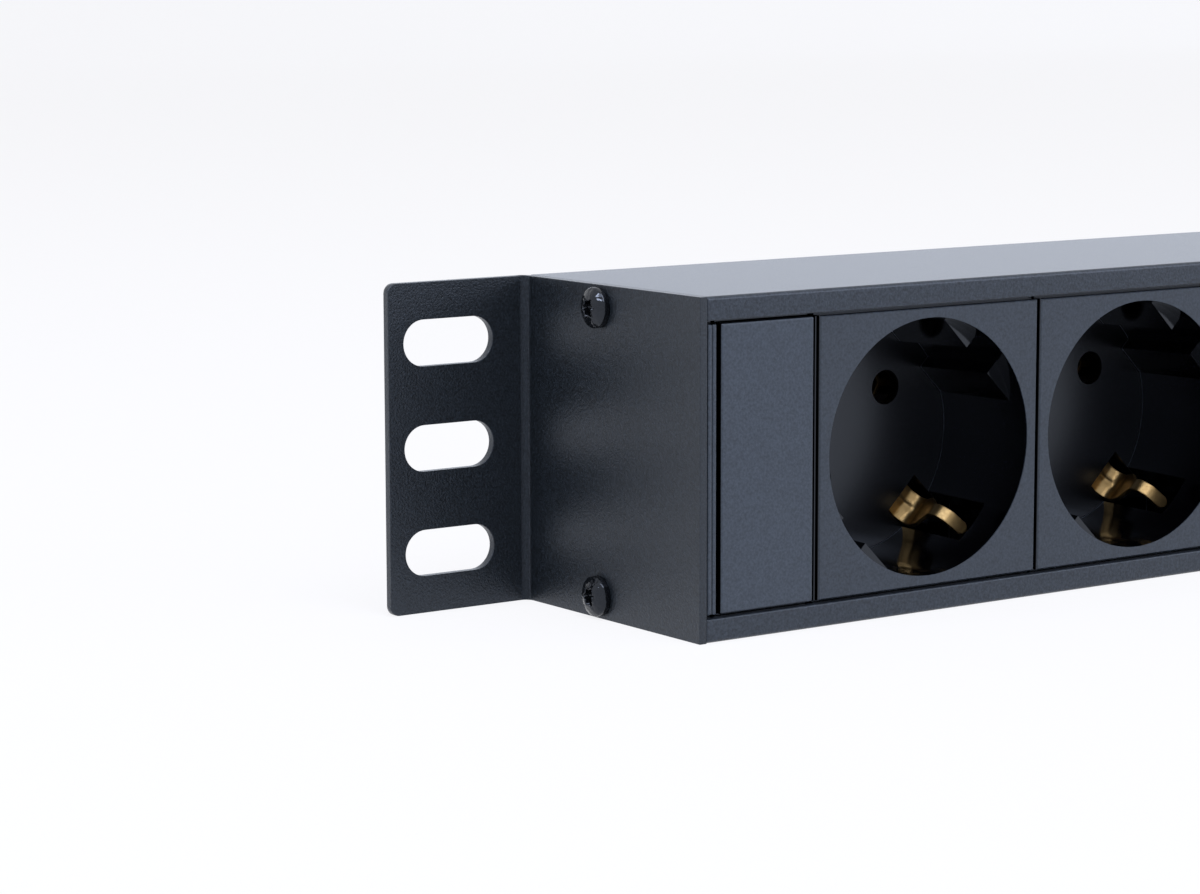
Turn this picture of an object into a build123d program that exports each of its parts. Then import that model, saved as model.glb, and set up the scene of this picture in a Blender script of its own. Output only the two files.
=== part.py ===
from build123d import *
from math import radians, sin, tan
import os

# Rack power distribution unit with round earthed sockets, 1.5 rack units high.
# X runs along the unit, the sockets face -Y and Z is up.
# The origin is under the middle of the unit, on the plane that it rests on.

# Overall body and rack ears
rack_width = 482.6
body_height = 50.0
ear_reach = 24.7
sheet = 1.3
bend_radius = 1.2
ear_corner = 1.5
slot_length = 15.8
slot_height = 7.0
slot_pitch = 15.875
slot_offset = 14.1
slots_per_ear = 3
hex_sides = 6

# Extruded housing
wall = 1.5
housing_corner = 0.6
lip_height = 3.5
lip_thickness = 1.8
groove_width = 2.2
rib_thickness = 1.2
rib_height = 1.7
channel_bore = 3.3
channel_wall = 1.3
channel_gap = 1.4

# End screws
screw_inset = 3.4
screw_setback = 25.0
screw_shank = 3.2
screw_hole = 3.8
screw_head = 6.1
screw_head_height = 2.3
screw_length = 10.0
screw_key = 2.4
screw_key_depth = 1.4
screw_rim = 0.9
screw_crown = 2.1

# Row of front modules
module_pitch = 43.3
module_gap = 0.6
face_recess = 0.3
face_gap = 0.45
face_chamfer = 0.25
rail_clearance = 0.1
rail_end_clearance = 0.2
plate_thickness = 2.5
mould_wall = 1.3

# Round socket well
well_diameter = 39.0
well_draft = 0.8
well_depth = 18.5
floor_thickness = 2.0
lug_start = 3.2
lug_chord = 16.9
lug_draft = 0.5
lug_notch = 6.0
well_turn = 45.0
pin_spacing = 19.0
pin_hole = 5.4
pin_reach = 19.0
cup_wall = 1.4
cup_sides = 8

# Contact chamber and its cover
chamber_height = 32.0
chamber_wall = 1.5
chamber_spare = 0.5
cover_thickness = 1.6
rear_space = 3.8
slot_clearance = 0.15

# Busbars
leaf = 0.6
eye_radius = 2.5
eye_sides = 6
bar_start = 3.2
bar_width = 9.0
earth_bar_height = 6.0
earth_bar_thickness = 0.8
bar_tail = 4.0

# Bonding of the left end plate
strap_foot = 13.5
stud_diameter = 4.0
stud_length = 8.0
stud_setback = 29.0
nut_width = 7.0
nut_height = 3.2

# Earth clips
clip_thickness = 0.7
clip_width = 5.4
clip_foot = 17.4
clip_heel = 19.8
clip_heel_depth = 19.3
clip_bump = 17.6
clip_bump_depth = 13.0
clip_bump_land = 1.2
clip_curl = 18.8
clip_curl_depth = 10.9
clip_tip = 22.2
clip_tip_depth = 9.7
tongue_width = 2.2
tongue_start = 16.6
tongue_taper = 0.7
window_side = 1.0
window_inside = 14.4
window_outside = 23.4
window_front = 5.5
window_behind = 0.15

# Blank fillers and end spacers
spacer_gap = 0.3
spacer_width = 1.7
spacer_groove = 0.2
filler_gap = 0.7
filler_room = 12.0
filler_depth = 9.0
tongue_gap = 0.35
filler_tongue = 0.35
tongue_drop = 0.3

# Switch module and switch
tray_width = 28.4
tray_height = 34.0
tray_depth = 6.5
tray_wall = 1.5
bezel_width = 25.0
bezel_height = 31.0
bezel_thickness = 1.8
switch_width = 22.0
switch_height = 28.0
switch_wall = 1.1
switch_depth = 22.0
switch_back = 1.5
cutout_clearance = 0.15
rocker_swing = 9.0
rocker_gap = 0.3
rocker_proud = 0.2
rocker_wall = 1.4
rocker_skirt = 2.6
pivot_drop = 3.0
pivot_pin = 2.8
running_clearance = 0.05
tab_width = 6.3
tab_thickness = 0.8
tab_length = 8.0
tab_column = 5.5

# Appliance inlet in the right end plate
inlet_setback = 26.0
inlet_flange_depth = 28.4
inlet_flange_clearance = 0.55
inlet_rim = (2.0, 2.2)
inlet_wall = (1.85, 1.5)
inlet_flange_thickness = 2.2
inlet_flange_corner = 3.0
inlet_barrel_depth = 20.0
inlet_well_depth = 17.5
inlet_well_corner = 2.0
blade_width = 8.0
blade_thickness = 2.0
blade_inset = 3.0
blade_spacing = 13.0
blade_offset = 4.0
inlet_tab_length = 6.5

# Internal wires
wire_diameter = 2.8
wire_sides = 8
wire_bend = 2.0
wire_back_gap = 0.4
wire_run = 4.2

# Worked-out places
body_length = rack_width - 2 * ear_reach
middle = body_height / 2
plate_inside = body_length / 2 - sheet
housing_length = 2 * plate_inside
module_count = int((housing_length - 2 * filler_room) // module_pitch)
socket_count = module_count - 1
row_start = -module_count * module_pitch / 2
module_width = module_pitch - module_gap
face_bottom = lip_height + face_gap
face_height = body_height - 2 * face_bottom
rail_front = lip_thickness + rail_clearance
rail_back = lip_thickness + groove_width - rail_clearance
rail_height = body_height - 2 * (wall + rail_end_clearance)
floor_front = face_recess + well_depth
floor_back = floor_front + floor_thickness
chamber_back = floor_front + pin_reach + chamber_spare
body_depth = chamber_back + cover_thickness + rear_space + wall
front = -body_depth / 2
bar_offset = pin_spacing / 2 * sin(radians(well_turn))
bar_front = floor_back + bar_start
bar_back = bar_front + bar_width
clip_back = floor_back + clip_thickness
earth_bar_back = clip_back + earth_bar_thickness
last_wall = row_start + socket_count * module_pitch - module_gap / 2
bar_end = last_wall + bar_tail
switch_x = row_start + (socket_count + 0.5) * module_pitch
tray_floor = face_recess + tray_depth
bezel_front = tray_floor - bezel_thickness
pivot_depth = bezel_front + pivot_drop
switch_rear = tray_floor + switch_depth
tab_end = switch_rear + tab_length
inlet_space = body_height - 2 * (screw_inset + screw_head / 2 + inlet_flange_clearance)
inlet_flange = (inlet_flange_depth, inlet_space)
inlet_barrel = tuple(side - 2 * rim for side, rim in zip(inlet_flange, inlet_rim))
inlet_well = tuple(side - 2 * inner for side, inner in zip(inlet_barrel, inlet_wall))
wire_depth = body_depth - wall - wire_back_gap - wire_diameter / 2
inlet_terminal = body_length / 2 - inlet_barrel_depth - inlet_tab_length / 2


def module_x(number):
    return row_start + (number - 0.5) * module_pitch


def block(x, y, z):
    """Box between pairs of limits, with depth counted from the front plane."""
    corner = Pos(x[0], front + y[0], z[0])
    return corner * Box(x[1] - x[0], y[1] - y[0], z[1] - z[0], align=(Align.MIN,) * 3)


def centred(x, width, y, height):
    """Box centred on a place along the unit and on its middle height."""
    return block((x - width / 2, x + width / 2), y, (middle - height / 2, middle + height / 2))


def save(shape, name):
    export_step(shape, f"parts/{name}.step")


def extrusion_section():
    """Section across the housing: depth along local X, height along local Y."""
    outer = Pos(0, middle) * RectangleRounded(body_depth, body_height, housing_corner)
    inside_depth = body_depth - lip_thickness - wall
    cavity = Pos((lip_thickness - wall) / 2, middle) * Rectangle(inside_depth, body_height - 2 * wall)
    mouth = Pos(front, middle) * Rectangle(2 * lip_thickness + wall, body_height - 2 * lip_height)
    section = outer - cavity - mouth
    rib_centre = front + lip_thickness + groove_width + rib_thickness / 2
    screw_line = front + screw_setback
    boss_radius = channel_bore / 2 + channel_wall
    for side in (-1, 1):
        edge = middle + side * (middle - wall)
        section += Pos(rib_centre, edge - side * rib_height / 2) * Rectangle(rib_thickness, rib_height)
        centre = middle + side * (middle - screw_inset)
        foot = abs(edge - centre)
        boss = Pos(screw_line, centre) * Circle(boss_radius)
        boss += Pos(screw_line, (centre + edge) / 2) * Rectangle(2 * boss_radius, foot)
        boss -= Pos(screw_line, centre) * Circle(channel_bore / 2)
        boss -= Pos(screw_line, centre - side * boss_radius) * Rectangle(channel_gap, 2 * boss_radius)
        outside = Pos(screw_line, edge + side * boss_radius) * Rectangle(4 * boss_radius, 2 * boss_radius)
        section += boss - outside
    return section


def housing():
    profile = Plane.YZ * extrusion_section()
    return Pos(-housing_length / 2, 0, 0) * extrude(profile, amount=housing_length)


def end_bracket():
    """Left end plate and rack ear, bent from one sheet."""
    face = -body_length / 2
    rear = front + body_depth
    outline = Polyline(
        (face + sheet, front),
        (face + sheet, rear),
        (face - ear_reach, rear),
        (face - ear_reach, rear - sheet),
        (face, rear - sheet),
        (face, front),
        close=True,
    )
    profile = make_face(outline)
    inner = profile.vertices().sort_by_distance((face, rear - sheet))[0]
    profile = fillet(inner, bend_radius)
    outer = profile.vertices().sort_by_distance((face + sheet, rear))[0]
    profile = fillet(outer, bend_radius + sheet)
    bracket = extrude(profile, amount=body_height)
    tips = bracket.edges().filter_by(Axis.Y).group_by(Axis.X)[0]
    bracket = fillet(tips, ear_corner)
    for row in range(slots_per_ear):
        height = middle + (row - (slots_per_ear - 1) / 2) * slot_pitch
        slot = Pos(face - slot_offset, rear, height) * (Plane.XZ * SlotOverall(slot_length, slot_height))
        bracket -= extrude(slot, amount=2 * sheet, both=True)
    for height in (screw_inset, body_height - screw_inset):
        hole = Rot(0, 90, 0) * Cylinder(screw_hole / 2, 4 * sheet)
        bracket -= Pos(face, front + screw_setback, height) * hole
    return bracket


def inlet_cutout():
    size = [side + 2 * cutout_clearance for side in inlet_barrel]
    shape = Plane.YZ * Rectangle(*size)
    place = Pos(body_length / 2 - sheet / 2, front + inlet_setback, middle)
    return place * extrude(shape, amount=sheet, both=True)


def end_screw(height):
    """Pan-head screw in the left end plate, pointing along +X."""
    outline = Polyline(
        (0, screw_head_height),
        (0, -screw_length),
        (screw_shank / 2, -screw_length),
        (screw_shank / 2, 0),
        (screw_head / 2, 0),
        (screw_head / 2, screw_rim),
        (screw_crown, screw_head_height),
        close=True,
    )
    screw = revolve(Plane.XZ * make_face(outline), Axis.Z)
    key = Pos(0, 0, screw_head_height - screw_key_depth) * RegularPolygon(screw_key / 2, hex_sides)
    screw -= extrude(key, amount=screw_key_depth)
    return Pos(-body_length / 2, front + screw_setback, height) * Rot(0, -90, 0) * screw


def module_blank(left, right, back):
    """Moulded module body: raised face, sliding rails and a box behind them."""
    face = block((left, right), (face_recess, rail_front), (face_bottom, face_bottom + face_height))
    face = chamfer(face.faces().sort_by(Axis.Y)[0].edges(), face_chamfer)
    rails = block(
        (left, right),
        (rail_front, rail_back),
        (middle - rail_height / 2, middle + rail_height / 2),
    )
    box = block((left, right), (rail_back, back), (face_bottom, face_bottom + face_height))
    return face + rails + box


def well_core():
    """Space inside a socket well: pin line along X, depth along Z, from the face."""
    low = (Align.CENTER, Align.CENTER, Align.MIN)
    radius = well_diameter / 2
    core = Cone(radius, radius - well_draft, well_depth, align=low)
    lug_outline = Polyline(
        (lug_chord, lug_start),
        (lug_chord - lug_draft, well_depth),
        (well_diameter, well_depth),
        (well_diameter, lug_start),
        close=True,
    )
    lug = extrude(Plane.XZ * make_face(lug_outline), amount=radius, both=True)
    lug -= Box(2 * well_diameter, lug_notch, 2 * well_depth, align=low)
    core -= lug
    core -= mirror(lug, about=Plane.YZ)
    for side in (-1, 1):
        pin = Cylinder(pin_hole / 2, well_depth + floor_thickness, align=low)
        core += Pos(side * pin_spacing / 2, 0, 0) * pin
        window = Box(
            clip_width + 2 * window_side,
            window_outside - window_inside,
            well_depth + floor_thickness + clip_thickness + window_behind - window_front,
            align=low,
        )
        across = side * (window_inside + window_outside) / 2
        core += Pos(0, across, window_front) * window
    return core


def in_well(x, shape):
    """Turn and place a shape that is drawn in the well's own frame."""
    return Pos(x, front + face_recess, middle) * Rot(-90, 0, 0) * Rot(0, 0, -well_turn) * shape


def corner_pockets(x):
    """Coring behind the four corners of a socket module."""
    inside = centred(
        x,
        module_width - 2 * mould_wall,
        (face_recess + plate_thickness, 2 * floor_back),
        face_height - 2 * mould_wall,
    )
    cup_radius = well_diameter / 2 + cup_wall
    turn = 180 / cup_sides
    cup = RegularPolygon(cup_radius, cup_sides, major_radius=False, rotation=turn)
    return inside - Pos(x, 0, middle) * extrude(Plane.XZ * cup, amount=body_depth, both=True)


def bar_slots(x):
    """Slots through the chamber's side walls that the busbars lie in, open to the rear."""
    reach = (x - module_pitch, x + module_pitch)
    half = leaf + slot_clearance
    slots = block(
        reach,
        (clip_back - slot_clearance, body_depth),
        (
            middle - earth_bar_height / 2 - slot_clearance,
            middle + earth_bar_height / 2 + slot_clearance,
        ),
    )
    for side in (-1, 1):
        line = middle + side * bar_offset
        slots += block(reach, (bar_front - slot_clearance, body_depth), (line - half, line + half))
    return slots


def socket(x):
    body = module_blank(x - module_width / 2, x + module_width / 2, floor_back)
    body -= corner_pockets(x)
    shell = centred(x, module_width, (floor_back, chamber_back), chamber_height)
    shell -= centred(
        x,
        module_width - 2 * chamber_wall,
        (floor_back, chamber_back),
        chamber_height - 2 * chamber_wall,
    )
    body += shell - bar_slots(x)
    return body - in_well(x, well_core())


def socket_cover(x):
    """Rear cover of a contact chamber, with the tongues that trap the busbars."""
    thickness = (chamber_back, chamber_back + cover_thickness)
    cover = centred(x, module_width, thickness, chamber_height)
    for side in (-1, 1):
        edge = x + side * module_width / 2
        span = sorted((edge, edge - side * chamber_wall))
        half = earth_bar_height / 2
        cover += block(
            span,
            (earth_bar_back + slot_clearance, chamber_back),
            (middle - half, middle + half),
        )
        for line in (middle - bar_offset, middle + bar_offset):
            cover += block(span, (bar_back + slot_clearance, chamber_back), (line - leaf, line + leaf))
    return cover


def earth_clip():
    """Bent brass strap under the floor, with an arm in each window of the well."""
    base = well_depth + floor_thickness + clip_thickness / 2
    arm = [
        (clip_foot, base),
        (clip_heel, clip_heel_depth),
        (clip_bump, clip_bump_depth + clip_bump_land / 2),
        (clip_bump, clip_bump_depth - clip_bump_land / 2),
        (clip_curl, clip_curl_depth),
        (2 * clip_tip - clip_curl, 2 * clip_tip_depth - clip_curl_depth),
        (2 * clip_tip - clip_curl, -clip_tip_depth),
    ]
    points = [(-across, depth) for across, depth in reversed(arm)] + arm
    inside = make_face(Polyline(*points, close=True))
    strap = offset(inside, clip_thickness / 2, kind=Kind.INTERSECTION)
    strap -= offset(inside, -clip_thickness / 2, kind=Kind.INTERSECTION)
    strap = extrude(Plane.YZ * strap, amount=clip_width / 2, both=True)
    half = clip_width / 2
    narrow = tongue_width / 2
    rise = [
        (half, base + clip_thickness),
        (half, tongue_start),
        (narrow, tongue_start - 2 * (half - narrow)),
        (narrow, clip_tip_depth - clip_thickness),
    ]
    rise += [(-along, depth) for along, depth in reversed(rise)]
    rise = make_face(Polyline(*rise, close=True))
    shoulder = (clip_heel + clip_tip) / 2
    plan = [
        (half, shoulder),
        (narrow, shoulder),
        (narrow, clip_tip - tongue_taper),
        (narrow - tongue_taper, clip_tip),
    ]
    plan += [(-along, across) for along, across in reversed(plan)]
    plan += [(-along, -across) for along, across in plan]
    plan = make_face(Polyline(*plan, close=True))
    strap &= extrude(Plane.XZ * rise, amount=clip_tip, both=True)
    return strap & extrude(plan, amount=2 * base)


def contact_bar(side):
    """Live or neutral busbar: two leaves that spread into an eye round each pin."""
    line = middle + side * bar_offset
    start = module_x(1) - module_width / 2
    strip = Pos((start + bar_end) / 2, line) * Rectangle(bar_end - start, 2 * leaf)
    pins = [Pos(module_x(n) + side * bar_offset, line) for n in range(1, socket_count + 1)]
    for pin in pins:
        strip += pin * RegularPolygon(eye_radius + leaf, eye_sides, major_radius=False)
    for pin in pins:
        strip -= pin * RegularPolygon(eye_radius, eye_sides, major_radius=False)
    bar = extrude(Plane.XZ * strip, amount=-bar_width)
    return Pos(0, front + bar_front, 0) * bar


def earth_bar():
    start = module_x(1) - module_width / 2
    half = earth_bar_height / 2
    return block((start, bar_end), (clip_back, earth_bar_back), (middle - half, middle + half))


def stud_line(shape):
    """Place a shape that is drawn along Z on the stud's line, from the left end plate."""
    return Pos(-plate_inside, front + stud_setback, middle) * Rot(0, 90, 0) * shape


def bonding_strap():
    """Flat strap from the earth busbar's end, bent along the inside of the left end plate."""
    start = module_x(1) - module_width / 2
    half = earth_bar_height / 2
    height = (middle - half, middle + half)
    foot = (-plate_inside, -plate_inside + earth_bar_thickness)
    strap = block((-plate_inside, start), (clip_back, earth_bar_back), height)
    strap += block(foot, (clip_back, clip_back + strap_foot), height)
    hole = Cylinder(stud_diameter / 2 + running_clearance, 4 * earth_bar_thickness)
    return strap - stud_line(hole)


def bonding_stud():
    low = (Align.CENTER, Align.CENTER, Align.MIN)
    return stud_line(Cylinder(stud_diameter / 2, stud_length, align=low))


def bonding_nut():
    nut = extrude(RegularPolygon(nut_width / 2, hex_sides, major_radius=False), amount=nut_height)
    nut -= Cylinder(stud_diameter / 2 + running_clearance, 4 * nut_height)
    return stud_line(Pos(0, 0, earth_bar_thickness) * nut)


def blank_filler():
    """Moulded blank between the left spacer and the first socket."""
    left = -plate_inside + spacer_gap + spacer_width + filler_gap
    tongue_right = row_start + module_gap / 2 - tongue_gap
    tongue_left = tongue_right - filler_tongue
    right = tongue_left - tongue_gap
    body = module_blank(left, right, filler_depth)
    body -= block(
        (left + mould_wall, right - mould_wall),
        (face_recess + plate_thickness, filler_depth),
        (face_bottom + mould_wall, face_bottom + face_height - mould_wall),
    )
    body += block(
        (tongue_left, tongue_right),
        (face_recess + tongue_drop, rail_back),
        (face_bottom, face_bottom + face_height),
    )
    body += block(
        (right - mould_wall, tongue_right),
        (rail_front, rail_back),
        (face_bottom, face_bottom + face_height),
    )
    return body


def end_spacer():
    """Thin moulded strip that packs the row out to the left end plate."""
    left = -plate_inside + spacer_gap
    right = left + spacer_width
    body = module_blank(left, right, filler_depth)
    centre = (left + right) / 2
    body -= block(
        (centre - spacer_groove / 2, centre + spacer_groove / 2),
        (0, face_recess + spacer_groove),
        (0, body_height),
    )
    return body


def switch_module():
    """Front module with a recessed tray that holds the switch."""
    left = switch_x - module_width / 2
    right = switch_x + module_width / 2
    body = module_blank(left, right, floor_back)
    hollow = centred(
        switch_x,
        module_width - 2 * mould_wall,
        (face_recess + plate_thickness, floor_back),
        face_height - 2 * mould_wall,
    )
    hollow -= centred(
        switch_x,
        tray_width + 2 * tray_wall,
        (0, tray_floor + tray_wall),
        tray_height + 2 * tray_wall,
    )
    body -= hollow
    body -= centred(switch_x, tray_width, (0, tray_floor), tray_height)
    body -= centred(
        switch_x,
        switch_width + 2 * cutout_clearance,
        (0, floor_back),
        switch_height + 2 * cutout_clearance,
    )
    mouth = body.edges().filter_by(GeomType.LINE).filter_by(
        lambda edge: abs(edge.center().Y - front - face_recess) < face_chamfer / 4
        and abs(edge.center().X - switch_x) < tray_width / 2 + face_chamfer
        and abs(edge.center().Z - middle) < tray_height / 2 + face_chamfer
    )
    return chamfer(mouth, face_chamfer)


def switch_housing():
    body = centred(switch_x, switch_width, (bezel_front, switch_rear), switch_height)
    body += centred(switch_x, bezel_width, (bezel_front, tray_floor), bezel_height)
    body -= centred(
        switch_x,
        switch_width - 2 * switch_wall,
        (bezel_front, switch_rear - switch_back),
        switch_height - 2 * switch_wall,
    )
    bore = Rot(0, 90, 0) * Cylinder(pivot_pin / 2 + running_clearance, 2 * switch_width)
    body -= Pos(switch_x, front + pivot_depth, middle) * bore
    for x, z in tab_places():
        body -= block(
            (x - tab_thickness / 2, x + tab_thickness / 2),
            (switch_rear - switch_back, switch_rear),
            (z - tab_width / 2, z + tab_width / 2),
        )
    return body


def tab_places():
    return [
        (switch_x + column * tab_column, middle + row * bar_offset)
        for column in (-1, 1)
        for row in (-1, 1)
    ]


def switch_tabs():
    """Four flat terminals, from inside the switch out through its back."""
    inner = switch_rear - 2 * switch_back
    return Compound(
        [
            block(
                (x - tab_thickness / 2, x + tab_thickness / 2),
                (inner, tab_end),
                (z - tab_width / 2, z + tab_width / 2),
            )
            for x, z in tab_places()
        ]
    )


def rocker_shape(inset):
    """Rocker section about its pivot, level, with every surface moved in by inset."""
    radius = switch_height / 2 - switch_wall - rocker_gap - inset
    vertex = -(pivot_drop + rocker_proud) + inset
    reach = 2 * radius
    rise = reach * tan(radians(rocker_swing))
    disc = Circle(radius)
    front_cut = make_face(
        Polyline(
            (vertex, 0),
            (vertex - rise, reach),
            (-4 * radius, reach),
            (-4 * radius, -reach),
            (vertex - rise, -reach),
            close=True,
        )
    )
    rear_cut = Pos(rocker_skirt + 2 * radius, 0) * Rectangle(4 * radius, 4 * radius)
    return disc - front_cut - rear_cut


def rocker():
    """Rocker at rest with its lower half pressed in, on moulded pivot pins."""
    width = switch_width - 2 * switch_wall - 2 * rocker_gap
    body = extrude(Plane.YZ * rocker_shape(0), amount=width / 2, both=True)
    hollow = width / 2 - rocker_wall
    body -= extrude(Plane.YZ * rocker_shape(rocker_wall), amount=hollow, both=True)
    pin_end = switch_width / 2 - running_clearance
    pin_root = width / 2 - rocker_wall / 2
    pin = Rot(0, 90, 0) * Cylinder(pivot_pin / 2, pin_end - pin_root)
    for side in (-1, 1):
        body += Pos(side * (pin_end + pin_root) / 2, 0, 0) * pin
    tilt = Rot(rocker_swing, 0, 0)
    return Pos(switch_x, front + pivot_depth, middle) * tilt * body


def blade_places():
    """Depth and height of the live, neutral and earth blades."""
    row = inlet_setback + blade_offset
    return [
        (row, middle + blade_spacing / 2),
        (row, middle - blade_spacing / 2),
        (inlet_setback - blade_offset, middle),
    ]


def inlet_body():
    face = body_length / 2
    place = Pos(face, front + inlet_setback, middle)
    flange = Plane.YZ * RectangleRounded(*inlet_flange, inlet_flange_corner)
    barrel = Plane.YZ * Rectangle(*inlet_barrel)
    body = place * extrude(flange, amount=inlet_flange_thickness)
    body += place * extrude(barrel, amount=-inlet_barrel_depth)
    well = Pos(inlet_flange_thickness, 0, 0) * (
        Plane.YZ * RectangleRounded(*inlet_well, inlet_well_corner)
    )
    body -= place * extrude(well, amount=-inlet_well_depth)
    for depth, height in blade_places():
        body -= block(
            (face - inlet_barrel_depth, face),
            (depth - blade_thickness / 2, depth + blade_thickness / 2),
            (height - blade_width / 2, height + blade_width / 2),
        )
    return body


def inlet_blades():
    """Three flat blades with the terminals behind them."""
    face = body_length / 2
    back = face - inlet_barrel_depth
    blades = []
    for depth, height in blade_places():
        blade = block(
            (back, face + inlet_flange_thickness - blade_inset),
            (depth - blade_thickness / 2, depth + blade_thickness / 2),
            (height - blade_width / 2, height + blade_width / 2),
        )
        blade += block(
            (back - inlet_tab_length, back),
            (depth - tab_thickness / 2, depth + tab_thickness / 2),
            (height - tab_width / 2, height + tab_width / 2),
        )
        blades.append(blade)
    return Compound(blades)


def wire(points):
    """Stiff wire along straight runs, each corner turned in two steps; depth from the front."""
    spots = [Vector(x, front + y, z) for x, y, z in points]
    route = [spots[0]]
    for before, corner, after in zip(spots, spots[1:], spots[2:]):
        route.append(corner + (before - corner).normalized() * wire_bend)
        route.append(corner + (after - corner).normalized() * wire_bend)
    route.append(spots[-1])
    path = Polyline(*route)
    start = Plane(origin=path @ 0, z_dir=path % 0)
    section = RegularPolygon(wire_diameter / 2, wire_sides, major_radius=False)
    return sweep(start * section, path=path, transition=Transition.RIGHT)


def supply_wire(blade):
    """From the side of an inlet terminal, along the back wall, to a switch terminal."""
    depth, height = blade
    terminal = switch_x + tab_column
    return wire(
        [
            (inlet_terminal, depth + tab_thickness / 2, height),
            (inlet_terminal, wire_depth, height),
            (terminal, wire_depth, height),
            (terminal, tab_end, height),
        ]
    )


def load_wire(row):
    """From a switch terminal, along the back wall, to the end of a busbar."""
    terminal = switch_x - tab_column
    line = middle + row * bar_offset
    entry = (bar_front + bar_back) / 2
    turn = bar_end + wire_run
    return wire(
        [
            (terminal, tab_end, line),
            (terminal, wire_depth, line),
            (turn, wire_depth, line),
            (turn, entry, line),
            (bar_end, entry, line),
        ]
    )


def earth_wire():
    """From the inlet's earth terminal round the switch to the earth busbar."""
    depth, height = blade_places()[2]
    turn = bar_end + wire_run
    entry = clip_back + earth_bar_thickness / 2
    return wire(
        [
            (inlet_terminal, depth + tab_thickness / 2, height),
            (inlet_terminal, wire_depth, height),
            (turn, wire_depth, height),
            (turn, entry, height),
            (bar_end, entry, height),
        ]
    )


os.makedirs("parts", exist_ok=True)

save(housing(), "housing_extrusion")

left_bracket = end_bracket()
save(left_bracket, "end_bracket_left")
save(mirror(left_bracket, about=Plane.YZ) - inlet_cutout(), "end_bracket_right")

left_screws = Compound([end_screw(height) for height in (screw_inset, body_height - screw_inset)])
save(left_screws, "end_screws_left")
save(mirror(left_screws, about=Plane.YZ), "end_screws_right")

left_spacer = end_spacer()
save(left_spacer, "end_spacer_left")
save(mirror(left_spacer, about=Plane.YZ), "end_spacer_right")

left_filler = blank_filler()
save(left_filler, "blank_filler_left")
save(mirror(left_filler, about=Plane.YZ), "blank_filler_right")

first_socket = socket(module_x(1))
first_cover = socket_cover(module_x(1))
for number in range(1, socket_count + 1):
    step = Pos(module_x(number) - module_x(1), 0, 0)
    save(step * first_socket, f"socket_{number}")
    save(step * first_cover, f"socket_cover_{number}")
    save(in_well(module_x(number), earth_clip()), f"earth_clip_{number}")

save(contact_bar(-1), "live_busbar")
save(contact_bar(1), "neutral_busbar")
save(earth_bar(), "earth_busbar")
save(bonding_strap(), "bonding_strap")
save(bonding_stud(), "bonding_stud")
save(bonding_nut(), "bonding_nut")

save(switch_module(), "switch_module")
save(switch_housing(), "switch_housing")
save(rocker(), "switch_rocker")
save(switch_tabs(), "switch_terminals")

save(inlet_body(), "inlet_body")
save(inlet_blades(), "inlet_pins")

live_blade, neutral_blade = blade_places()[1], blade_places()[0]
save(supply_wire(live_blade), "live_wire_in")
save(supply_wire(neutral_blade), "neutral_wire_in")
save(load_wire(-1), "live_wire_out")
save(load_wire(1), "neutral_wire_out")
save(earth_wire(), "earth_wire")
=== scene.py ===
import bmesh
import bpy
import math
from mathutils import Matrix, Vector


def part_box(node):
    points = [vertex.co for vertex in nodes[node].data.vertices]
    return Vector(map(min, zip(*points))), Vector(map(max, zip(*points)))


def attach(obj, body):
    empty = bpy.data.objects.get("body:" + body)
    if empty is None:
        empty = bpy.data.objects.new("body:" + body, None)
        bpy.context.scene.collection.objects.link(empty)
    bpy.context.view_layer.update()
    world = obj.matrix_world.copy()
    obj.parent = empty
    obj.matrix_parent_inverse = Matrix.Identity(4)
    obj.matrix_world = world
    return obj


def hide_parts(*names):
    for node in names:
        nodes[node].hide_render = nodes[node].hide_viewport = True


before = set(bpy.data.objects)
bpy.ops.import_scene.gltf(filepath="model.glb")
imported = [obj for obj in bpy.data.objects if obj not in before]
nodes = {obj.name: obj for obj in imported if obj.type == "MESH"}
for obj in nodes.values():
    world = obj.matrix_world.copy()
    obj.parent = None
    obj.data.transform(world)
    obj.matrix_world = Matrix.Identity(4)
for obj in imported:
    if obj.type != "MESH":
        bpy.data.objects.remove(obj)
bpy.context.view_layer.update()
MM = 0.001


# Studio sweep: a matt white paper roll that runs from the floor up into a wall far behind.
# It reads almost white to the eye and in reflections, and keeps a faint contact shadow.
def linear(code):
    """Linear colour of an sRGB hex value."""
    channels = [int(code[place:place + 2], 16) / 255 for place in (1, 3, 5)]
    return [c / 12.92 if c <= 0.04045 else ((c + 0.055) / 1.055) ** 2.4 for c in channels] + [1.0]


def add(tree, kind, settings=None, links=None):
    """One node of that kind, with its settings and its inputs, which are values or sockets."""
    node = tree.nodes.new(kind)
    for name, value in (settings or {}).items():
        setattr(node, name, value)
    for name, value in (links or {}).items():
        if isinstance(value, bpy.types.NodeSocket):
            tree.links.new(value, node.inputs[name])
        else:
            node.inputs[name].default_value = value
    return node


def new_material(name):
    """Empty node material and its output node."""
    material = bpy.data.materials.new(name)
    material.use_nodes = True
    material.node_tree.nodes.clear()
    output = add(material.node_tree, "ShaderNodeOutputMaterial")
    return material, material.node_tree, output


def add_strip(form, rows):
    """Adds quads between rows of points; the rows stay open."""
    lines = [[form.verts.new(point) for point in row] for row in rows]
    for first, second in zip(lines, lines[1:]):
        for place in range(len(first) - 1):
            form.faces.new((first[place], first[place + 1], second[place + 1], second[place]))


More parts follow.
